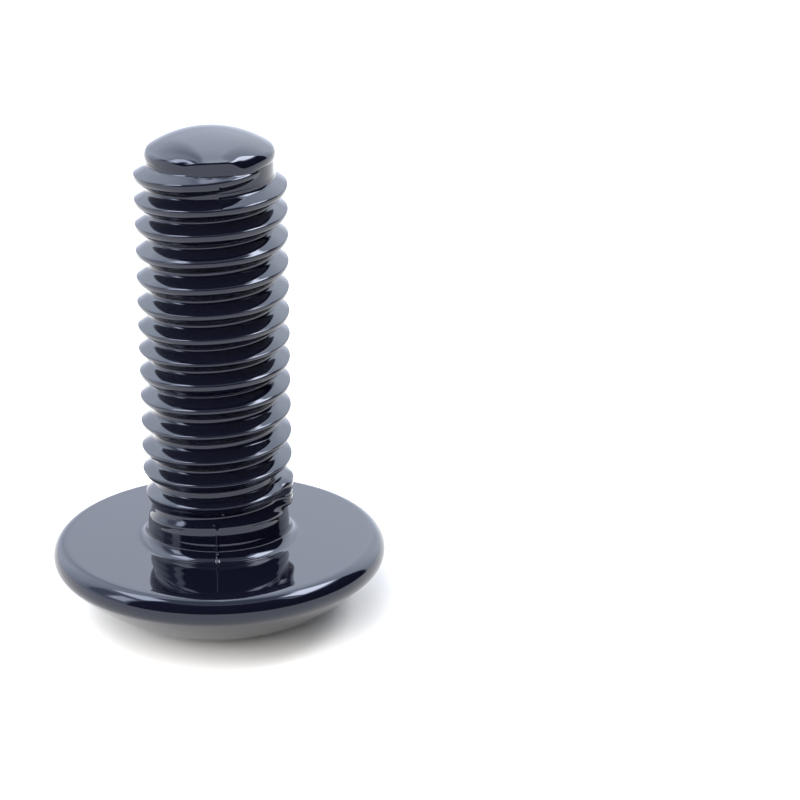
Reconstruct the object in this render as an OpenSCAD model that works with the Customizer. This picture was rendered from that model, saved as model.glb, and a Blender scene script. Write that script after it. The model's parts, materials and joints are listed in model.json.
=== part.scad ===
// Round-head machine screw with a hex recess, thickly lacquered
//
// The screw stands on its head. The origin is the centre of the bearing face,
// the flat side of the head that clamps the work, and the shank rises along +Z.
// The head hangs below it, with the hex recess open downwards.

/* [Thread] */
// Diameter over the crests of the thread
thread_d = 5.88; // [5:0.02:8]
// Rise of the thread in one turn, single start and right-handed
pitch = 1; // [0.8:0.05:1.25]
// Depth of the groove as a share of the pitch
groove_share = 0.5; // [0.42:0.01:0.51]
// Width of the round on a crest's upper edge, as a share of the pitch
edge_share = 0.055; // [0.03:0.005:0.09]
// Width of the lacquer that hangs round under a crest, as a share of the pitch
hang_share = 0.37; // [0.25:0.01:0.42]
// Steepness of the groove's flank above a crest, in degrees
upper_flank = 55; // [52:1:60]
// Steepness of the groove's flank below a crest, in degrees
lower_flank = 58; // [54:1:62]
// Turns over which the groove runs out above the neck
runout_turns = 2; // [1:0.25:3]

/* [Shank] */
// Length from the bearing face to the top of the tip
shank_len = 16.65; // [10:0.05:40]
// Length of the plain neck between the head and the thread
neck_len = 0.7; // [0.5:0.1:3]
// How far the neck lies inside the crests
neck_step = 0.16; // [0.05:0.01:0.25]
// Radius of the fillet between the neck and the bearing face
fillet_r = 0.5; // [0.3:0.05:0.8]
// Diameter of the cap on the tip
cap_d = 5; // [4.2:0.05:5]
// Radius of the cap's round edge
cap_edge_r = 0.4; // [0.35:0.05:0.7]
// Rise of the cap's dome above its round edge
cap_dome_h = 0.6; // [0.3:0.05:0.9]

/* [Head] */
// Diameter of the head
head_d = 13.2; // [11:0.1:18]
// Height of the head, from the bearing face to the lip of the recess
head_h = 3.3; // [2.8:0.1:4.5]
// Radius of the rim's edge next to the bearing face
rim_face_r = 0.65; // [0.4:0.05:0.9]
// Radius of the rim's edge next to the dome
rim_dome_r = 0.6; // [0.4:0.05:0.9]

/* [Recess] */
// Size of the hex recess across its flats
hex_af = 4; // [3:0.1:4.4]
// Depth of the recess, from its lip to the floor
hex_depth = 2.6; // [2.1:0.1:2.8]
// Width of the lip outside the corners of the hexagon
lip_w = 0.5; // [0.35:0.05:0.7]
// Radius of the round on the lip
lip_r = 0.25; // [0.15:0.05:0.3]
// Slope of the lip's inner face, in degrees
lip_slope = 25; // [15:1:35]
// Height of the hardened lacquer drop on the floor
drop_h = 1; // [0.4:0.1:1.2]
// Gap between the drop and the flats of the recess
drop_gap = 0.25; // [0.15:0.05:0.4]

/* [Hidden] */
$fn = 96;
lacquer = "#14161f";

// Arcs in the turned sections have one point for each step of this many degrees
arc_step = 9;
// Columns of the thread's surface round one turn
sides = 36;
// Overlap of two bodies that are joined
sink = 0.3;
// Arc of the fillet above the bearing face, in degrees
fillet_a = 75;
// Arc of the cap's edge below its widest point, in degrees
under_a = 50;

thread_r = thread_d / 2;
groove_d = groove_share * pitch;
neck_r = thread_r - neck_step;
cap_r = cap_d / 2;
cap_z = shank_len - cap_dome_h - cap_edge_r;

// The thread starts inside the head and ends inside the cap
thread_bottom = -sink;
thread_top = cap_z - sink / 3;
// The first crest starts this far under the top of the threaded shank
start_gap = 0.2;
// It then stands out by this much more for each mm down, until it is whole
start_slope = 2.5;

// Points on an arc round a centre, from one angle to another
function arc(centre, radius, from, to) =
    let (steps = max(2, ceil(abs(to - from) / arc_step)))
    [for (i = [0:steps]) let (a = from + (to - from) * i / steps)
        centre + radius * [cos(a), sin(a)]];

// How deep a round of one width lies at a place, where it runs on into a straight flank
function round_drop(place, width, flank) =
    let (r = width / sin(flank))
    place < width
        ? r - sqrt(r * r - place * place)
        : r * (1 - cos(flank)) + (place - width) * tan(flank);

// Place where that flank reaches the root of the groove
function flank_end(width, flank) =
    width + (groove_share - round_drop(width, width, flank)) / tan(flank);

root_from = flank_end(edge_share, upper_flank);
root_to = 1 - flank_end(hang_share, lower_flank);
hang_steps = 3;
// Groove section over one pitch, from a crest up to the next one:
// place as a share of the pitch, then depth as a share of the full depth
section = concat(
    [[0, 0], [edge_share, round_drop(edge_share, edge_share, upper_flank) / groove_share],
    [root_from, 1], [root_to, 1]],
    [for (i = [0:hang_steps - 1]) let (place = hang_share * (1 - i / hang_steps))
        [1 - place, round_drop(place, hang_share, lower_flank) / groove_share]]);
section_loop = concat(section, [[1, 0]]);
rows = len(section);

// Height of a crest on the +X side, as a share of the pitch, so that the start faces as it should
crest_place = 0.45;
crest_z = crest_place * pitch;

function clamp(x, low, high) = min(max(x, low), high);
function turn_share(x) = x - floor(x);

// Radius of the shank at a height and an angle
function shank_r(z, angle) =
    let (
        share = turn_share((z - crest_z) / pitch - angle / 360),
        crest_at = z + pitch * ((share > root_from ? 1 : 0) - share),
        rise = clamp((z - neck_len) / (runout_turns * pitch), 0, 1),
        root = neck_r - (groove_d - neck_step) * rise,
        start = root + max(0, thread_top - start_gap - crest_at) * start_slope,
        crest = min(neck_r + neck_step * rise, start)
    )
    crest - (crest - root) * lookup(share, section_loop);

// Threaded shank, as one surface that winds up in rows along the helix
module shank() {
    first = floor((thread_bottom - crest_z) / pitch) - 2;
    last = ceil((thread_top - crest_z) / pitch) + 2;
    count = (last - first) * rows;

    function raw_z(i, j) =
        crest_z + pitch * (first + floor(i / rows) + section[i % rows][0] + j / sides);
    function row_z(i, j) = clamp(raw_z(i, j), thread_bottom, thread_top);
    function spot(z, angle) =
        let (r = shank_r(z, angle)) [r * cos(angle), r * sin(angle), z];

    // The bottom ring comes first, then the top ring, then the rows
    angles = [for (j = [0:sides - 1]) 360 * j / sides];
    points = concat(
        [for (a = angles) spot(thread_bottom, a)],
        [for (a = angles) spot(thread_top, a)],
        [for (i = [0:count - 1], j = [0:sides - 1]) spot(row_z(i, j), angles[j])]);

    // Past the last column a row goes on as the row one turn higher
    function place(i, j) = j < sides ? grid(i, j) : grid(i + rows, 0);
    function grid(i, j) =
        raw_z(i, j) <= thread_bottom ? j
        : raw_z(i, j) >= thread_top ? sides + j
        : 2 * sides + i * sides + j;
    function whole(t) = t[0] != t[1] && t[1] != t[2] && t[2] != t[0];

    wall = [for (i = [0:count - rows - 2], j = [0:sides - 1])
        let (
            a = place(i, j), b = place(i + 1, j),
            c = place(i, j + 1), d = place(i + 1, j + 1)
        )
        each [[a, b, c], [c, b, d]]];
    bottom = [for (j = [0:sides - 1]) j];
    top = [for (j = [sides - 1:-1:0]) sides + j];

    polyhedron(points, concat([for (t = wall) if (whole(t)) t], [bottom, top]), convexity = 10);
}

// Domed cap on the tip, turned, whose dome runs smoothly into its round edge
module tip_cap() {
    edge = [cap_r - cap_edge_r, cap_z];
    rise = cap_dome_h + cap_edge_r;
    dome_r = (edge[0] * edge[0] + rise * rise - cap_edge_r * cap_edge_r) / (2 * cap_dome_h);
    edge_a = atan2(dome_r - rise, edge[0]);
    rotate_extrude()
        polygon(concat(
            [[0, cap_z - cap_edge_r * sin(under_a)]],
            arc(edge, cap_edge_r, -under_a, edge_a),
            arc([0, shank_len - dome_r], dome_r, edge_a, 90)));
}

// Circle on the axis that two rounds touch from inside, as [radius, height of its centre]
function dome_over(a, a_r, b, b_r) =
    let (
        gap = a_r - b_r,
        rise = b[1] - a[1],
        base = (b[0] * b[0] - a[0] * a[0] + b[1] * b[1] - a[1] * a[1] - gap * gap) / (2 * rise),
        lean = -gap / rise,
        reach = base - a[1],
        u = (lean * reach + sqrt(lean * lean * reach * reach
            + (1 - lean * lean) * (a[0] * a[0] + reach * reach))) / (1 - lean * lean)
    )
    [u + a_r, base + lean * u];

// Head with its rim, its dome and the sloping lip of the recess, turned
module head_body() {
    corner_r = hex_af / 2 / cos(30);
    face_edge = [head_d / 2 - rim_face_r, -rim_face_r];
    dome_edge = [head_d / 2 - rim_dome_r, -rim_face_r];
    lip = [corner_r + lip_w, lip_r - head_h];
    dome = dome_over(dome_edge, rim_dome_r, lip, lip_r);
    dome_c = [0, dome[1]];
    edge_a = atan2(dome_edge[1] - dome[1], dome_edge[0]);
    lip_a = atan2(lip[1] - dome[1], lip[0]);
    lip_in = lip + lip_r * [-sin(lip_slope), -cos(lip_slope)];
    fillet_end = [neck_r + fillet_r * (1 - sin(fillet_a)), fillet_r * (1 - cos(fillet_a))];

    rotate_extrude()
        polygon(concat(
            [[0, fillet_end[1] + sink]],
            [fillet_end + [-sink * cos(fillet_a), sink * sin(fillet_a)]],
            arc([neck_r + fillet_r, fillet_r], fillet_r, 270 - fillet_a, 270),
            arc(face_edge, rim_face_r, 90, 0),
            arc(dome_edge, rim_dome_r, 0, edge_a),
            arc(dome_c, dome[0], edge_a, lip_a),
            arc(lip, lip_r, lip_a, -90 - lip_slope),
            [[0, lip_in[1] + lip_in[0] * tan(lip_slope)]]));
}

// Space of the hex recess, with the drop left standing on its floor
module recess() {
    floor_z = hex_depth - head_h;
    drop_base_r = hex_af / 2 - drop_gap;
    drop_r = (drop_base_r * drop_base_r + drop_h * drop_h) / (2 * drop_h);
    difference() {
        translate([0, 0, -2 * head_h])
            cylinder(r = hex_af / 2 / cos(30), h = floor_z + 2 * head_h, $fn = 6);
        translate([0, 0, floor_z - drop_h + drop_r])
            sphere(r = drop_r);
    }
}

module screw() {
    color(lacquer)
        difference() {
            union() {
                head_body();
                shank();
                tip_cap();
            }
            recess();
        }
}

screw();
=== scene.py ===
"""A machine screw under thick glossy black lacquer, standing on its head in a white light tent.

Lengths are in millimetres until a mesh is made, and the mesh is in metres, in the frame of the CAD
model: the origin is the centre of the bearing face, the shank rises along +Z and the head hangs
below. The camera stands in front, on the -Y side, and +X is on its right. Angles round the axis are
in degrees from +X, so 270 faces the camera.
"""

import json
import math

import bpy
import numpy as np
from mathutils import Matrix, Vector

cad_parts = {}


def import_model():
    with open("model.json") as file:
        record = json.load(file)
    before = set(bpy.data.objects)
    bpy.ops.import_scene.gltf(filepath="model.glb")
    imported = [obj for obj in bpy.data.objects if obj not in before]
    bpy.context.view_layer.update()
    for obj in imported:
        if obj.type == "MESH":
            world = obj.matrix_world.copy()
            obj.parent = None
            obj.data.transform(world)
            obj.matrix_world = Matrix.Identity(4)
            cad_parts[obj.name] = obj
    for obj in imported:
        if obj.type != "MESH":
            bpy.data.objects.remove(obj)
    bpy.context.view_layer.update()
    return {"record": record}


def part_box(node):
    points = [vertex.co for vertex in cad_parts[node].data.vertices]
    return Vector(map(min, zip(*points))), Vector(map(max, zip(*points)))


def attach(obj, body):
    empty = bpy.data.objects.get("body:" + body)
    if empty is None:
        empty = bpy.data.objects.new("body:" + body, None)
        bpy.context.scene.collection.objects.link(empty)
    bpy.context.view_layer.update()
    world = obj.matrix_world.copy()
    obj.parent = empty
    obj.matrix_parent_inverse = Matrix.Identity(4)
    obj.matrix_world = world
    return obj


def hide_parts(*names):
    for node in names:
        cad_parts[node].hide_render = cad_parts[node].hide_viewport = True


MM = 0.001

# Camera, fitted to the outline of the screw in the photograph
CAMERA_PLACE = (7.208, -99.01, 42.72)
CAMERA_PITCH = 69.481
CAMERA_LENS = 121.5
CAMERA_SENSOR = 36.0
CAMERA_NEAR, CAMERA_FAR = 5, 10000

# Thread. A place on the winding is counted in turns, and the crests on the +X side are the whole
# numbers, the one numbered 0 at a height of CREST_ON_X. FRONT_TURN is the part of a turn from there
# to the side that faces the camera
PITCH = 1.0
CREST_ON_X = 0.45
GROOVE_DEPTH = 0.5
FRONT_TURN = 0.742
# Lacquer on each crest where it faces the camera: the winding, how far the crest is lifted in mm,
# then, going down and as shares of the pitch, the round that hangs under it, the straight flank
# below, the round root and the round upper edge of the next crest, and last the lean of the lower
# and the upper flank
CRESTS = (
    (1, 0.00, 0.30, 0.10, 0.34, 0.03, 60, 58),
    (2, -0.02, 0.30, 0.09, 0.34, 0.03, 60, 58),
    (3, -0.05, 0.28, 0.12, 0.32, 0.05, 58, 59),
    (4, 0.01, 0.17, 0.12, 0.46, 0.02, 64, 61),
    (5, 0.05, 0.20, 0.10, 0.42, 0.03, 68, 62),
    (6, 0.05, 0.36, 0.17, 0.10, 0.05, 58, 59),
    (7, -0.04, 0.18, 0.10, 0.38, 0.08, 66, 60),
    (8, -0.09, 0.34, 0.11, 0.20, 0.03, 66, 61),
    (9, -0.11, 0.26, 0.15, 0.30, 0.03, 63, 60),
    (10, -0.10, 0.28, 0.16, 0.27, 0.02, 60, 61),
    (11, -0.06, 0.22, 0.14, 0.31, 0.05, 65, 60),
    (12, 0.00, 0.30, 0.16, 0.15, 0.06, 62, 60),
    (13, -0.05, 0.34, 0.09, 0.24, 0.06, 66, 61),
    (14, -0.04, 0.36, 0.08, 0.26, 0.06, 66, 60),
)
SECTION_SAMPLES = 401
# Rows of the skin over one pitch, as shares of it, going up from a crest
ROW_STEPS = (
    0, 0.015, 0.03, 0.05, 0.08, 0.13, 0.19, 0.25, 0.3, 0.345, 0.385, 0.42, 0.455, 0.49, 0.525,
    0.56, 0.6, 0.64, 0.68, 0.72, 0.76, 0.805, 0.85, 0.89, 0.93, 0.97,
)
ROWS_PER_TURN = len(ROW_STEPS)
# Turns wound past both ends, so that every column reaches the level rows there
SPARE_TURNS = 2
# Radius of the crests along the winding, down to the run-out
CREST_TURNS = (0.0, 0.74, 1.5, 1.74, 2.0, 2.5, 2.74)
CREST_R = (2.77, 2.775, 2.82, 2.835, 2.86, 2.93, 2.94)
# The groove's depth grows to the full one over this span of heights, from this share
RUNOUT_FROM, RUNOUT_TO, RUNOUT_SHARE = 1.2, 2.7, 0.3
# The thread's start: a crest this far under the top is still level with the root, and stands out by
# this much more for each mm down
START_GAP = 0.2
START_SLOPE = 2.5
# Crests lower than the full ones by this much have begun to fade out. Above this height the groove
# beside such a crest is cut from it alone
FADED = 0.2
FADE_FROM = 3.7

# Neck: radius above the fillet
NECK_R = 2.8
FILLET_R = 0.5
# Height of the low ridge that the last winding leaves on the neck, with its waves round the axis
RIDGE_Z, RIDGE_COS, RIDGE_SIN, RIDGE_COS_TWICE = 0.915, 0.13, -0.18, -0.065
# Steps inwards going up the neck: start, span and depth. Two are level and two follow the ridge
LEVEL_STEPS = ((0.6, 0.14, 0.015), (0.74, 0.3, 0.006))
RIDGE_STEPS = ((-0.12, 0.28, 0.024), (0.17, 0.35, 0.12))
# The thread takes over from the neck from this far above the ridge, over this span
BLEND_FROM, BLEND_SPAN = 0.3, 0.45
# Fine ripples at the left of the neck. They rise by one wave for so many degrees
RIPPLE_H, RIPPLES_PER_MM, RIPPLE_DEGREES = 0.004, 4.2, 40
RIPPLE_ANGLE, RIPPLE_WIDTH, RIPPLE_Z, RIPPLE_SPAN = 235, 16, 1.55, 0.3

# Wrinkled lump of lacquer that fills the grooves at the right, above the neck
LUMP_ANGLE, LUMP_HALF_ANGLE, LUMP_SOFT_ANGLE = 356, 14, 16
LUMP_Z, LUMP_HALF_Z, LUMP_SOFT_Z = 2.0, 0.6, 0.3
LUMP_R, LUMP_FILL = 3.04, 0.8
WRINKLE_H, WRINKLES_PER_MM, WRINKLE_DEGREES = 0.01, 5.5, 22

# Run of lacquer down the neck: its angle, its ends and how softly they fade, its width and height
RUN_ANGLE, RUN_FROM, RUN_TO, RUN_SOFT, RUN_WIDTH, RUN_H = 272.5, 1.45, -0.1, 0.2, 0.045, 0.05
# Where the run dies away at the foot of the fillet
RUN_FOOT, RUN_FOOT_SOFT = -0.02, 0.1

# Tip cap, as in the CAD model. Its round edge goes down to CAP_UNDER degrees below the level, and
# its rows change their spacing at CAP_SIDE degrees above it
CAP_R = 2.5
CAP_EDGE_R = 0.4
CAP_DOME = 0.6
CAP_SIDE = 10
CAP_UNDER = 50
# Depth of the threaded shank's end below the centre of the cap's edge
CAP_SINK = 0.1
# Sharper lip at the front of the cap: radius of its round, and radius of the cap there
LIP_EDGE_R = 0.1
LIP_CAP_R = 2.47
# Steep side below the lip: the angle where it starts on the round, its lower end below the lip, how
# far it leans out down to there, its rows as shares of the way, and the round under it
LIP_SIDE_FROM = 5
LIP_BOTTOM = 0.42
LIP_SIDE_OUT = 0.012
LIP_SIDE_SHARES = (0.34, 0.67, 1)
LIP_UNDER_R, LIP_UNDER_IN = 0.13, 0.12
# Where the lip is: its middle, half its width and how softly it ends
LIP_ANGLE, LIP_HALF, LIP_SOFT = 259, 39, 14
# Places where the lip hangs lower or higher: angle, width, how much lower
LIP_WAVES = ((250, 9, 0.07), (280, 14, -0.03))
# Softer slope of the cap's edge at the right: its middle, its width, and the dome's rise and the
# edge's radius there
SLOPE_ANGLE, SLOPE_WIDTH, SLOPE_DOME, SLOPE_EDGE_R = 303, 15, 0.5, 0.65
# Rows of the dome, of the edge and of its underside. The lipped section has as many rows in all:
# those of the dome, then the last of the dome, the lip, its side and the underside
DOME_ROWS, EDGE_ROWS, UNDER_ROWS = 16, 8, 10
LIP_DOME_ROWS, LIP_EDGE_ROWS, LIP_UNDER_ROWS = 3, 5, 7
# Rows below the dome over which the lip's waves come in
WAVE_ROWS = 4

# Rim, lip and recess, as in the CAD model
RIM_FACE_R = 0.65
RIM_DOME_R = 0.6
HEX_AF = 4.0
HEX_DEPTH = 2.6
HEX_EDGE_R = 0.1
LIP_W = 0.5
LIP_R = 0.25
LIP_SLOPE = 25
DROP_H = 1.0
DROP_GAP = 0.25
# The hexagon's corners are as sharp as this power makes them
HEX_POWER = 24
# Rows of the skin on the head
FILLET_ROWS, FACE_ROWS = 14, 12
RIM_FACE_ROWS, RIM_DOME_ROWS, HEAD_DOME_ROWS, LIP_ROWS = 20, 12, 24, 10
HEX_EDGE_ROWS, WALL_ROWS, DROP_ROWS = 6, 6, 13
# Rows on the lip's slope, as shares of the way from the lip to the hexagon
SLOPE_SHARES = (0.35, 0.7)

# Columns of the skin round the axis, closer together where the run of lacquer hangs
COLUMN_STEP = 2.5
FINE_STEP = 0.6
FINE_FROM = 264
FINE_TO = 281

# Beads of lacquer: angle, radius of their place, height, size
BEADS = (
    (270.5, 2.76, 1.5, 0.07),
    (277.5, 2.8, 1.95, 0.055),
    (272.5, 2.91, 0.3, 0.08),
    (272.5, 3.1, 0.05, 0.07),
)
BEAD_RINGS, BEAD_SPOKES = 10, 16

# Lacquer: its two blended colours, the range of its roughness, and the sizes of its textures
LACQUER_A = (0.0019, 0.0022, 0.0054, 1)
LACQUER_B = (0.0027, 0.0029, 0.0068, 1)
LACQUER_IOR = 1.52
LACQUER_TINT = (0.8, 0.85, 1.0, 1)
HAZE_LOW, HAZE_HIGH = 0.02, 0.07
CLOUD_SCALE, PEEL_SCALE = 450.0, 900.0
PEEL_STRENGTH, PEEL_DEPTH = 0.35, 0.01

# Table
TABLE_COLOUR = (0.88, 0.86, 0.83, 1)
TABLE_ROUGHNESS, TABLE_SPECULAR = 0.7, 0.2
TABLE_HALF = 1500

# Key light: energy, how wide it is, and its tilt about the X and Y axes in degrees
KEY_ENERGY, KEY_WIDTH, KEY_TILT_X, KEY_TILT_Y = 5.6, 60, 44, -32

# Light tent, with angles in degrees and linear colours. The wall's left and right half meet softly
# behind the screw
WALL_LEFT, WALL_RIGHT, WALL_SOFT = (1.4, 1.52, 1.8, 1), (1.75, 1.9, 2.2, 1), 9
# Parts of the wall that get brighter upwards: from and to as angles away from straight behind, how
# soft their sides are, the two heights between which they grow, and their colour
GLOWS = (
    (20, 70, 15, 0, 30, (3.1, 3.4, 3.8, 1)),
    (-92, -25, 20, -8, 30, (3.1, 3.4, 3.8, 1)),
    (-35, 35, 15, 16, 62, (4.8, 5.1, 5.6, 1)),
)
DARK = (0.02, 0.022, 0.035, 1)
# Patches, each over the ones before it: from and to as angles away from straight in front, from and
# to as angles up, how soft their edges are, and their colour
PATCHES = (
    # Roof
    (-110, 110, 59, 100, 5, (0.75, 0.82, 0.98, 1)),
    # Dark opening in front, and the dark right side
    (-62, 62, -2, 61, 3, DARK),
    (50, 121, -2, 43, 3, DARK),
    # Window at the left, with the grey strip beside it
    (-98, -79, 8, 42, 3, (0.9, 1.0, 1.2, 1)),
    (-79, -62, 14, 41, 3, (6.0, 6.4, 7.0, 1)),
    # Left and right lamp
    (-109, -62, 48, 69, 4, (9.0, 9.5, 10.5, 1)),
    (74, 123, 44, 66, 4, (15.0, 15.5, 16.5, 1)),
)
# Share of the tent's light that the table gets, because the key light does the most of it
TENT_ON_TABLE = 0.4
BACKDROP = (1.0, 1.0, 1.0, 1)


def arc(centre, radius, start, end, steps):
    """Points of an arc in the (r, z) plane, with angles in degrees from the r axis."""
    turn = np.radians(np.linspace(start, end, steps + 1))
    return [(centre[0] + radius * math.cos(a), centre[1] + radius * math.sin(a)) for a in turn]


def smooth(x):
    """Soft step from 0 to 1 as x goes from 0 to 1."""
    x = np.clip(x, 0, 1)
    return x * x * (3 - 2 * x)


def plateau(distance, half, soft):
    """1 within half of a place and 0 beyond it, with an edge as wide as soft."""
    return smooth((half + soft / 2 - np.abs(distance)) / soft)


def bell(x, width):
    """Bump of height 1 that fades to nothing at about twice its width."""
    return np.exp(-((x / width) ** 2))


def away(angle, centre):
    """Signed difference of two angles, from -180 to 180."""
    return (np.asarray(angle) - centre + 180) % 360 - 180


def waves(z, angle, per_mm, degrees):
    """Slanting waves from -1 to 1, so many per mm of height and one for so many degrees."""
    return np.sin((z * per_mm + angle / degrees) * 2 * np.pi)


def columns():
    """Angles of the skin's columns in degrees, from 0 up to but not including 360."""
    coarse_before = np.arange(0, FINE_FROM, COLUMN_STEP)
    fine = np.arange(FINE_FROM, FINE_TO, FINE_STEP)
    coarse_after = np.arange(FINE_TO, 360, COLUMN_STEP)
    return np.concatenate([coarse_before, fine, coarse_after])


def groove_section(hang, low_flank, root, edge, low_lean, high_lean):
    """Depth of the groove over one pitch, going down from a crest to the next one."""
    share = np.linspace(0, 1, SECTION_SAMPLES)
    low, high = math.sin(math.radians(low_lean)), math.sin(math.radians(high_lean))
    knots = (0, hang, hang + low_flank, hang + low_flank + root, 1 - edge, 1)
    lean = np.arcsin(np.interp(share, knots, (0, low, low, -high, -high, 0)))
    slope = np.tan(lean)
    steps = (slope[1:] + slope[:-1]) / 2 * np.diff(share) * PITCH
    depth = np.concatenate([[0], np.cumsum(steps)])
    depth -= depth[-1] * share
    return depth * GROOVE_DEPTH / depth.max()


class Skin:
    """Closed mesh of rows round the axis, all with the same columns."""

    def __init__(self, angles):
        self.angles = np.asarray(angles, float)
        self.count = len(self.angles)
        self.cos = np.cos(np.radians(self.angles))
        self.sin = np.sin(np.radians(self.angles))
        self.points = []
        self.faces = []
        self.size = 0

    def add(self, r, z):
        """A row of points, as their indices. r and z are numbers or one value for each column."""
        r = np.broadcast_to(np.asarray(r, float), self.count)
        z = np.broadcast_to(np.asarray(z, float), self.count)
        self.points.append(np.column_stack([r * self.cos, r * self.sin, z]))
        self.size += self.count
        return np.arange(self.size - self.count, self.size)

    def pole(self, z):
        """One point on the axis, as its index."""
        self.points.append(np.array([[0.0, 0.0, z]]))
        self.size += 1
        return self.size - 1

    def sew(self, upper, lower):
        """Quads between two rows, facing away from the axis when upper lies above lower."""
        after = np.roll(np.arange(self.count), -1)
        quads = np.column_stack([upper, lower, lower[after], upper[after]])
        self.faces.extend(quads.tolist())

    def hang(self, above, r, z):
        """A new row that is sewn to the one above it, as its indices."""
        row = self.add(r, z)
        self.sew(above, row)
        return row

    def close(self, pole, row, from_above):
        """Triangles from a point on the axis to a row."""
        after = np.roll(row, -1)
        for a, b in zip(row.tolist(), after.tolist()):
            self.faces.append([pole, a, b] if from_above else [pole, b, a])

    def mesh(self, name):
        return smooth_mesh(name, np.concatenate(self.points), self.faces)


def smooth_mesh(name, points, faces):
    """Smoothly shaded mesh in metres, from points in mm."""
    data = bpy.data.meshes.new(name)
    data.from_pydata((points * MM).tolist(), [], faces)
    data.update()
    data.shade_smooth()
    return data


def place_in_scene(name, data):
    """Object with the given data, in the scene."""
    made = bpy.data.objects.new(name, data)
    bpy.context.scene.collection.objects.link(made)
    return made


class Thread:
    """The lacquered thread with its run-out, its neck and its start under the cap."""

    def __init__(self, top, crest_r):
        self.top = top
        self.crest_r = crest_r
        self.root_r = crest_r - GROOVE_DEPTH
        self.fronts = np.array([c[0] + FRONT_TURN for c in CRESTS])
        self.lifts = np.array([c[1] for c in CRESTS])
        self.sections = np.array([groove_section(*c[2:]) for c in CRESTS])

    def lift(self, turn):
        return np.interp(turn, self.fronts, self.lifts)

    def height(self, turn, share):
        """Height of a place between the crest at one turn and the crest one turn higher."""
        lift = self.lift(turn) * (1 - share) + self.lift(turn + 1) * share
        return CREST_ON_X + PITCH * (turn + share) + lift

    def groove(self, turn, share):
        """Depth between the crest at one turn and the crest one turn higher."""
        # Between the first and just short of the last section
        place = np.clip(turn + 1 - self.fronts[0], 0, len(CRESTS) - 1.001)
        index = np.floor(place).astype(int)
        part = place - index
        column = (1 - share) * (SECTION_SAMPLES - 1)
        left = np.floor(column).astype(int).clip(0, SECTION_SAMPLES - 2)
        along = column - left

        def read(row):
            return self.sections[row, left] * (1 - along) + self.sections[row, left + 1] * along

        return read(index) * (1 - part) + read(index + 1) * part

    def crest(self, turn):
        """Radius of the crest, which is low in the run-out and fades out under the cap."""
        below_start = self.top - START_GAP - CREST_ON_X - turn * PITCH
        start = self.root_r + np.maximum(0, below_start) * START_SLOPE
        run_out = np.interp(turn, CREST_TURNS, CREST_R) + self.crest_r - CREST_R[-1]
        return np.minimum(run_out, start)

    def neck(self, z, angle):
        """Radius of the neck and height of its ridge."""
        a = np.radians(angle)
        ridge = RIDGE_Z + RIDGE_COS * np.cos(a) + RIDGE_SIN * np.sin(a)
        ridge = ridge + RIDGE_COS_TWICE * np.cos(2 * a)
        wall = NECK_R
        for start, span, depth in LEVEL_STEPS:
            wall = wall - depth * smooth((z - start) / span)
        for start, span, depth in RIDGE_STEPS:
            wall = wall - depth * smooth((z - ridge - start) / span)
        ripple = RIPPLE_H * waves(z, angle, RIPPLES_PER_MM, RIPPLE_DEGREES)
        near = bell(away(angle, RIPPLE_ANGLE), RIPPLE_WIDTH) * bell(z - RIPPLE_Z, RIPPLE_SPAN)
        return wall + ripple * near, ridge

    def radius(self, turn, share, z, angle):
        """Radius of the skin at a place on the winding."""
        grown = smooth((z - RUNOUT_FROM) / (RUNOUT_TO - RUNOUT_FROM))
        depth = self.groove(turn, share) * (RUNOUT_SHARE + (1 - RUNOUT_SHARE) * grown)
        low, high = self.crest(turn), self.crest(turn + 1)
        both_full = (low > self.crest_r - FADED) & (high > self.crest_r - FADED)
        near = np.where(share < 0.5, low, high)
        between = low * (1 - share) + high * share
        crest = np.where(both_full | (z < FADE_FROM), between, near)
        thread = np.maximum(crest - depth, self.root_r)
        wall, ridge = self.neck(z, angle)
        r = wall + (thread - wall) * smooth((z - ridge - BLEND_FROM) / BLEND_SPAN)
        return r + self.lump(r, z, angle) + self.run(z, angle)

    def lump(self, r, z, angle):
        """Wrinkled lacquer that fills the grooves at one side."""
        near = plateau(z - LUMP_Z, LUMP_HALF_Z, LUMP_SOFT_Z)
        near = near * plateau(away(angle, LUMP_ANGLE), LUMP_HALF_ANGLE, LUMP_SOFT_ANGLE)
        wrinkle = WRINKLE_H * waves(z, angle, WRINKLES_PER_MM, WRINKLE_DEGREES)
        return near * (LUMP_FILL * np.maximum(LUMP_R - r, 0) + wrinkle)

    def run(self, z, angle):
        """Thin run of lacquer down the neck."""
        along = smooth((RUN_FROM - z) / RUN_SOFT) * smooth((z - RUN_TO) / RUN_SOFT)
        return run_height(angle) * along


def run_height(angle):
    """How far the run of lacquer stands out at an angle."""
    beside = np.radians(away(angle, RUN_ANGLE)) * NECK_R
    return RUN_H * bell(beside, RUN_WIDTH)


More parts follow.
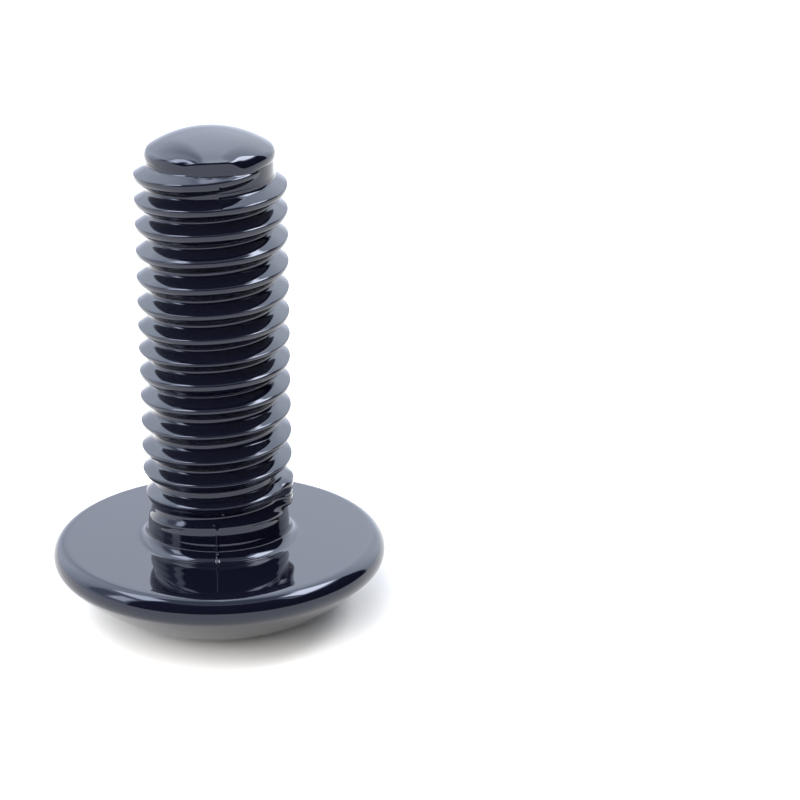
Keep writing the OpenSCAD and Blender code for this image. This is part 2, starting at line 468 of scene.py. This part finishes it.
def thread_rows(skin, thread, low, top_row, bottom_row):
    """Rows that wind up along the helix between two level rows."""
    high = thread.top
    first = math.floor((low - CREST_ON_X) / PITCH) - SPARE_TURNS
    last = math.ceil((high - CREST_ON_X) / PITCH) + SPARE_TURNS
    count = (last - first) * ROWS_PER_TURN
    row = np.arange(count)[:, None]
    angle = np.broadcast_to(skin.angles[None, :], (count, skin.count))
    turn = first + row // ROWS_PER_TURN + angle / 360
    share = np.broadcast_to(np.array(ROW_STEPS)[row % ROWS_PER_TURN], angle.shape)
    z = thread.height(turn, share)
    radius = thread.radius(turn, share, z, angle)
    inside = (z > low) & (z < high)
    place = np.where(z <= low, bottom_row[None, :], top_row[None, :])
    place[inside] = skin.size + np.arange(inside.sum())
    x, y = radius * skin.cos, radius * skin.sin
    skin.points.append(np.column_stack([x[inside], y[inside], z[inside]]))
    skin.size += int(inside.sum())
    # Past the last column a row goes on as the row one turn higher
    wrapped = np.concatenate([place[:-ROWS_PER_TURN], place[ROWS_PER_TURN:, :1]], axis=1)
    lower, upper = wrapped[:-1], wrapped[1:]
    for below, above in zip(lower.tolist(), upper.tolist()):
        for j in range(skin.count):
            corners = [above[j], below[j], below[j + 1], above[j + 1]]
            face = [c for k, c in enumerate(corners) if c != corners[k - 1]]
            if len(set(face)) >= 3:
                skin.faces.append(face)


def dome_over(a, a_r, b, b_r):
    """Circle on the axis that two rounds touch from inside, as (radius, height of its centre)."""
    gap = a_r - b_r
    rise = b[1] - a[1]
    base = (b[0] ** 2 - a[0] ** 2 + b[1] ** 2 - a[1] ** 2 - gap**2) / (2 * rise)
    lean = -gap / rise
    reach = base - a[1]
    root = lean**2 * reach**2 + (1 - lean**2) * (a[0] ** 2 + reach**2)
    u = (lean * reach + math.sqrt(root)) / (1 - lean**2)
    return u + a_r, base + lean * u


def cap_circle(tip, dome_h, edge_r):
    """The cap's dome and edge: dome radius, centre of the edge, angle where they meet."""
    edge = (CAP_R - edge_r, tip - dome_h - edge_r)
    rise = dome_h + edge_r
    dome_r = (edge[0] ** 2 + rise**2 - edge_r**2) / (2 * dome_h)
    return dome_r, edge, math.degrees(math.atan2(dome_r - rise, edge[0]))


def round_cap(tip, dome_h, edge_r):
    """Section of the cap: a dome that runs on into a round edge."""
    dome_r, edge, edge_angle = cap_circle(tip, dome_h, edge_r)
    section = arc((0, tip - dome_r), dome_r, 90, edge_angle, DOME_ROWS)[1:]
    section += arc(edge, edge_r, edge_angle, CAP_SIDE, EDGE_ROWS)[1:]
    section += arc(edge, edge_r, CAP_SIDE, -CAP_UNDER, UNDER_ROWS)[1:]
    return np.array(section)


def lipped_cap(tip):
    """Section of the cap where the dome ends in a sharp lip with a steep side below it."""
    dome_r, _, edge_angle = cap_circle(tip, CAP_DOME, CAP_EDGE_R)
    dome = (0, tip - dome_r)
    lip_r = LIP_CAP_R - LIP_EDGE_R
    lip_angle = math.degrees(math.acos(lip_r / (dome_r - LIP_EDGE_R)))
    lip_z = dome[1] + (dome_r - LIP_EDGE_R) * math.sin(math.radians(lip_angle))
    section = arc(dome, dome_r, 90, edge_angle, DOME_ROWS)[1:]
    section += arc(dome, dome_r, edge_angle, lip_angle, LIP_DOME_ROWS)[1:]
    section += arc((lip_r, lip_z), LIP_EDGE_R, lip_angle, LIP_SIDE_FROM, LIP_EDGE_ROWS)[1:]
    high, low = section[-1][1], lip_z - LIP_BOTTOM
    section += [(LIP_CAP_R + LIP_SIDE_OUT * s, high + (low - high) * s) for s in LIP_SIDE_SHARES]
    under = (LIP_CAP_R - LIP_UNDER_IN, low)
    section += arc(under, LIP_UNDER_R, 0, -CAP_UNDER, LIP_UNDER_ROWS)[1:]
    return np.array(section)


def add_tip(skin, tip):
    """The domed cap, from its top down to the first row of the thread."""
    plain = round_cap(tip, CAP_DOME, CAP_EDGE_R)
    sloped = round_cap(tip, SLOPE_DOME, SLOPE_EDGE_R)
    lipped = lipped_cap(tip)
    front = plateau(away(skin.angles, LIP_ANGLE), LIP_HALF, LIP_SOFT)
    right = bell(away(skin.angles, SLOPE_ANGLE), SLOPE_WIDTH)
    sag = sum(low * bell(away(skin.angles, place), width) for place, width, low in LIP_WAVES)
    pole = skin.pole(tip)
    above = None
    for index, (a, b, c) in enumerate(zip(plain, sloped, lipped)):
        wave = smooth((index - DOME_ROWS + 1) / WAVE_ROWS)
        r = a[0] + (b[0] - a[0]) * right
        z = a[1] + (b[1] - a[1]) * right
        r = r + (c[0] - r) * front
        z = z + (c[1] - z) * front - sag * wave * front
        if above is None:
            above = skin.add(r, z)
            skin.close(pole, above, True)
        else:
            above = skin.hang(above, r, z)
    return above


def add_fillet(skin, above):
    """Fillet between the neck and the bearing face, with the foot of the run of lacquer on it."""
    centre = (NECK_R + FILLET_R, FILLET_R)
    drip = run_height(skin.angles)
    # The arc starts a little below the level row that the thread ends on
    for r, z in arc(centre, FILLET_R, 182, 270, FILLET_ROWS):
        lean = math.atan2(centre[1] - z, centre[0] - r)
        out = drip * smooth((z - RUN_FOOT) / RUN_FOOT_SOFT)
        above = skin.hang(above, r + out * math.cos(lean), z + out * math.sin(lean))
    return above


def add_head(skin, sizes, above):
    """Bearing face, rim and dome, down to the lip of the recess."""
    face_edge = (sizes["head_r"] - RIM_FACE_R, -RIM_FACE_R)
    dome_edge = (sizes["head_r"] - RIM_DOME_R, -RIM_FACE_R)
    corner_r = HEX_AF / 2 / math.cos(math.radians(30))
    lip = (corner_r + LIP_W, LIP_R - sizes["head_h"])
    dome_r, dome_z = dome_over(dome_edge, RIM_DOME_R, lip, LIP_R)
    edge_angle = math.degrees(math.atan2(dome_edge[1] - dome_z, dome_edge[0]))
    lip_angle = math.degrees(math.atan2(lip[1] - dome_z, lip[0]))
    face = np.linspace(NECK_R + FILLET_R, face_edge[0], FACE_ROWS + 2)[1:-1]
    section = [(r, 0) for r in face]
    section += arc(face_edge, RIM_FACE_R, 90, 0, RIM_FACE_ROWS)
    section += arc(dome_edge, RIM_DOME_R, 0, edge_angle, RIM_DOME_ROWS)[1:]
    section += arc((0, dome_z), dome_r, edge_angle, lip_angle, HEAD_DOME_ROWS)[1:]
    section += arc(lip, LIP_R, lip_angle, -90 - LIP_SLOPE, LIP_ROWS)[1:]
    for r, z in section:
        above = skin.hang(above, r, z)
    return above, section[-1]


def hexagon_r(angles):
    """Radius of the hex recess at each angle, with its corners slightly rounded."""
    facing = np.radians(np.array([30, 90, 150]))
    spread = np.abs(np.cos(np.radians(angles)[:, None] - facing[None, :]))
    return (spread**HEX_POWER).sum(1) ** (-1 / HEX_POWER) * HEX_AF / 2


def add_recess(skin, sizes, above, lip_end):
    """The sloping lip, the hexagon with its walls, and the drop on the floor."""
    wall_r = hexagon_r(skin.angles)
    edge_r = wall_r + HEX_EDGE_R
    slope = math.tan(math.radians(LIP_SLOPE))
    floor = HEX_DEPTH - sizes["head_h"]

    def lip_z(r):
        return lip_end[1] + (lip_end[0] - r) * slope

    for share in SLOPE_SHARES:
        r = lip_end[0] + (edge_r - lip_end[0]) * share
        above = skin.hang(above, r, lip_z(r))
    # Rounded edge of the hexagon, from the lip's slope into the wall
    for turn in np.radians(np.linspace(0, 90, HEX_EDGE_ROWS)):
        rise = 1 - math.cos(turn) + math.sin(turn) * slope
        r = wall_r + HEX_EDGE_R * (1 - math.sin(turn))
        above = skin.hang(above, r, lip_z(edge_r) + HEX_EDGE_R * rise)
    wall_from = lip_z(edge_r) + HEX_EDGE_R * (1 + slope)
    for share in np.linspace(0, 1, WALL_ROWS + 1)[1:]:
        above = skin.hang(above, wall_r, wall_from + (floor - wall_from) * share)
    base_r = HEX_AF / 2 - DROP_GAP
    drop_r = (base_r**2 + DROP_H**2) / (2 * DROP_H)
    start = math.degrees(math.asin(base_r / drop_r))
    for turn in np.radians(np.linspace(start, 0, DROP_ROWS + 1)[:-1]):
        z = floor - DROP_H + drop_r * (1 - math.cos(turn))
        above = skin.hang(above, drop_r * math.sin(turn), z)
    skin.close(skin.pole(floor - DROP_H), above, False)


def build_screw(sizes):
    """The lacquered screw as one closed mesh."""
    skin = Skin(columns())
    thread = Thread(sizes["thread_top"], sizes["thread_r"])
    low = FILLET_R
    cap_row = add_tip(skin, sizes["tip"])
    neck_r = thread.neck(low, skin.angles)[0] + thread.run(low, skin.angles)
    bottom_row = skin.add(neck_r, low)
    top_row = skin.hang(cap_row, thread.root_r, thread.top)
    thread_rows(skin, thread, low, top_row, bottom_row)
    above = add_fillet(skin, bottom_row)
    above, lip_end = add_head(skin, sizes, above)
    add_recess(skin, sizes, above, lip_end)
    return place_in_scene("lacquered_screw", skin.mesh("lacquered_screw"))


def add_bead(points, faces, centre, size):
    """One ball, with its poles along Z."""
    start = len(points)
    points.append(centre + [0, 0, size])
    for tilt in np.pi * np.arange(1, BEAD_RINGS) / BEAD_RINGS:
        for turn in 2 * np.pi * np.arange(BEAD_SPOKES) / BEAD_SPOKES:
            level = math.sin(tilt)
            way = [level * math.cos(turn), level * math.sin(turn), math.cos(tilt)]
            points.append(centre + size * np.array(way))
    points.append(centre - [0, 0, size])
    last_ring = start + 1 + (BEAD_RINGS - 2) * BEAD_SPOKES
    for spoke in range(BEAD_SPOKES):
        after = (spoke + 1) % BEAD_SPOKES
        faces.append([start, start + 1 + spoke, start + 1 + after])
        for a in range(start + 1, last_ring, BEAD_SPOKES):
            b = a + BEAD_SPOKES
            faces.append([a + spoke, b + spoke, b + after, a + after])
        faces.append([last_ring + spoke, last_ring + BEAD_SPOKES, last_ring + after])


def build_beads():
    """Small round beads of lacquer, each sunk into the skin by about half."""
    points, faces = [], []
    for angle, r, z, size in BEADS:
        turn = math.radians(angle)
        add_bead(points, faces, np.array([r * math.cos(turn), r * math.sin(turn), z]), size)
    return place_in_scene("lacquer_beads", smooth_mesh("lacquer_beads", np.array(points), faces))


def node(tree, kind, **values):
    """A shader node, with its inputs set by name."""
    made = tree.nodes.new(kind)
    for name, value in values.items():
        made.inputs[name.replace("_", " ")].default_value = value
    return made


def new_material(name):
    """A material, its node tree and its main shader."""
    material = bpy.data.materials.new(name)
    material.use_nodes = True
    return material, material.node_tree, material.node_tree.nodes["Principled BSDF"]


def lacquer_material():
    """Glossy lacquer: nearly black, with a blue cast, a slight haze and a faint orange peel."""
    material, tree, shader = new_material("black_lacquer")
    links = tree.links
    shader.inputs["IOR"].default_value = LACQUER_IOR
    shader.inputs["Specular Tint"].default_value = LACQUER_TINT
    shader.inputs["Metallic"].default_value = 0.0
    place = tree.nodes.new("ShaderNodeTexCoord")

    cloud = node(tree, "ShaderNodeTexNoise", Scale=CLOUD_SCALE, Detail=3.0, Roughness=0.5)
    links.new(place.outputs["Object"], cloud.inputs["Vector"])
    tint = tree.nodes.new("ShaderNodeMix")
    tint.data_type = "RGBA"
    tint.inputs["A"].default_value = LACQUER_A
    tint.inputs["B"].default_value = LACQUER_B
    links.new(cloud.outputs["Fac"], tint.inputs["Factor"])
    links.new(tint.outputs["Result"], shader.inputs["Base Color"])

    haze = node(tree, "ShaderNodeMapRange", To_Min=HAZE_LOW, To_Max=HAZE_HIGH)
    links.new(cloud.outputs["Fac"], haze.inputs["Value"])
    links.new(haze.outputs["Result"], shader.inputs["Roughness"])

    peel = node(tree, "ShaderNodeTexNoise", Scale=PEEL_SCALE, Detail=2.0, Roughness=0.5)
    links.new(place.outputs["Object"], peel.inputs["Vector"])
    bump = node(tree, "ShaderNodeBump", Strength=PEEL_STRENGTH, Distance=PEEL_DEPTH * MM)
    links.new(peel.outputs["Fac"], bump.inputs["Height"])
    links.new(bump.outputs["Normal"], shader.inputs["Normal"])
    return material


def table_material():
    """Plain matt white of the table."""
    material, _, shader = new_material("white_table")
    shader.inputs["Base Color"].default_value = TABLE_COLOUR
    shader.inputs["Roughness"].default_value = TABLE_ROUGHNESS
    shader.inputs["Specular IOR Level"].default_value = TABLE_SPECULAR
    return material


def build_table(sizes):
    """A plain white table under the head, which isn't part of the screw."""
    data = bpy.data.meshes.new("table")
    half, z = TABLE_HALF * MM, -sizes["head_h"] * MM
    corners = [(-half, -half, z), (half, -half, z), (half, half, z), (-half, half, z)]
    data.from_pydata(corners, [], [(0, 1, 2, 3)])
    data.materials.append(table_material())
    place_in_scene("table", data)


def build_key_light():
    """Soft light from the upper left, in front, that whitens the table and isn't mirrored."""
    data = bpy.data.lights.new("key", "SUN")
    data.energy = KEY_ENERGY
    data.angle = math.radians(KEY_WIDTH)
    light = place_in_scene("key", data)
    light.rotation_euler = (math.radians(KEY_TILT_X), math.radians(KEY_TILT_Y), 0)
    light.visible_glossy = False


class Maths:
    """Short ways to make the nodes that work out a colour."""

    def __init__(self, tree):
        self.tree = tree

    def put(self, socket, value):
        """Sets a socket to a value, or links it to an output."""
        if isinstance(value, bpy.types.NodeSocket):
            self.tree.links.new(value, socket)
        else:
            socket.default_value = value

    def do(self, operation, *values, clamp=False):
        made = self.tree.nodes.new("ShaderNodeMath")
        made.operation = operation
        made.use_clamp = clamp
        for socket, value in zip(made.inputs, values):
            self.put(socket, value)
        return made.outputs[0]

    def degrees(self, value):
        return self.do("MULTIPLY", value, 180 / math.pi)

    def share(self, value, low, high):
        """0 up to one value, 1 from another one on."""
        return self.do("MULTIPLY", self.do("SUBTRACT", value, low), 1 / (high - low), clamp=True)

    def band(self, value, low, high, soft):
        """1 between two values, with soft ends."""
        rise = self.do("MULTIPLY", self.do("SUBTRACT", value, low), 1 / soft, clamp=True)
        fall = self.do("MULTIPLY", self.do("SUBTRACT", high, value), 1 / soft, clamp=True)
        return self.do("MULTIPLY", rise, fall)

    def mix(self, factor, a, b):
        made = self.tree.nodes.new("ShaderNodeMix")
        made.data_type = "RGBA"
        for name, value in (("Factor", factor), ("A", a), ("B", b)):
            self.put(made.inputs[name], value)
        return made.outputs["Result"]


def tent_colour(maths, x, y, z):
    """Colour of the light tent in a direction."""
    up = maths.degrees(maths.do("ARCSINE", z))
    side = maths.degrees(maths.do("ARCTAN2", x, maths.do("MULTIPLY", y, -1.0)))
    behind = maths.degrees(maths.do("ARCTAN2", x, y))
    colour = maths.mix(maths.share(behind, -WALL_SOFT, WALL_SOFT), WALL_LEFT, WALL_RIGHT)
    for side_from, side_to, soft, up_from, up_to, shade in GLOWS:
        across = maths.band(behind, side_from, side_to, soft)
        grown = maths.share(up, up_from, up_to)
        colour = maths.mix(maths.do("MULTIPLY", across, grown), colour, shade)
    for side_from, side_to, up_from, up_to, soft, shade in PATCHES:
        across = maths.band(side, side_from, side_to, soft)
        along = maths.band(up, up_from, up_to, soft)
        colour = maths.mix(maths.do("MULTIPLY", across, along), colour, shade)
    return colour


def build_world():
    """A white light tent with a dark opening in front, a window at the left and two lamps."""
    world = bpy.data.worlds.new("light_tent")
    bpy.context.scene.world = world
    world.use_nodes = True
    tree = world.node_tree
    tree.nodes.clear()
    links = tree.links
    maths = Maths(tree)
    place = tree.nodes.new("ShaderNodeTexCoord")
    split = tree.nodes.new("ShaderNodeSeparateXYZ")
    links.new(place.outputs["Generated"], split.inputs["Vector"])
    seen = tree.nodes.new("ShaderNodeLightPath")

    tent = tree.nodes.new("ShaderNodeBackground")
    links.new(tent_colour(maths, *split.outputs), tent.inputs["Color"])
    less = maths.do("MULTIPLY", seen.outputs["Is Diffuse Ray"], TENT_ON_TABLE - 1)
    links.new(maths.do("ADD", less, 1.0), tent.inputs["Strength"])
    backdrop = node(tree, "ShaderNodeBackground", Color=BACKDROP, Strength=1.0)
    choose = tree.nodes.new("ShaderNodeMixShader")
    links.new(seen.outputs["Is Camera Ray"], choose.inputs["Fac"])
    links.new(tent.outputs["Background"], choose.inputs[1])
    links.new(backdrop.outputs["Background"], choose.inputs[2])
    output = tree.nodes.new("ShaderNodeOutputWorld")
    links.new(choose.outputs["Shader"], output.inputs["Surface"])


def build_camera():
    """The camera of the photograph."""
    data = bpy.data.cameras.new("camera")
    data.lens = CAMERA_LENS
    data.sensor_width = CAMERA_SENSOR
    data.clip_start = CAMERA_NEAR * MM
    data.clip_end = CAMERA_FAR * MM
    camera = place_in_scene("camera", data)
    camera.location = [v * MM for v in CAMERA_PLACE]
    camera.rotation_euler = (math.radians(CAMERA_PITCH), 0, 0)
    bpy.context.scene.camera = camera


def sizes_of(frame):
    """Driving sizes of the CAD model, in mm."""
    low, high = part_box("screw")
    mounts = {m["name"]: m for m in frame["record"]["mounts"]}
    tip = high.z / MM
    return {
        "tip": tip,
        "head_h": -low.z / MM,
        "head_r": high.x / MM,
        "thread_r": mounts["thread"]["dims"]["r_mm"],
        "thread_top": tip - CAP_DOME - CAP_EDGE_R - CAP_SINK,
    }


def main():
    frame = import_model()
    sizes = sizes_of(frame)
    bpy.context.scene.view_settings.view_transform = "Standard"
    build_camera()
    build_world()
    build_key_light()
    build_table(sizes)
    lacquer = lacquer_material()
    screw = build_screw(sizes)
    beads = build_beads()
    for piece in (screw, beads):
        piece.data.materials.append(lacquer)
        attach(piece, "root")
    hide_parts("screw")
    bpy.context.view_layer.update()


main()
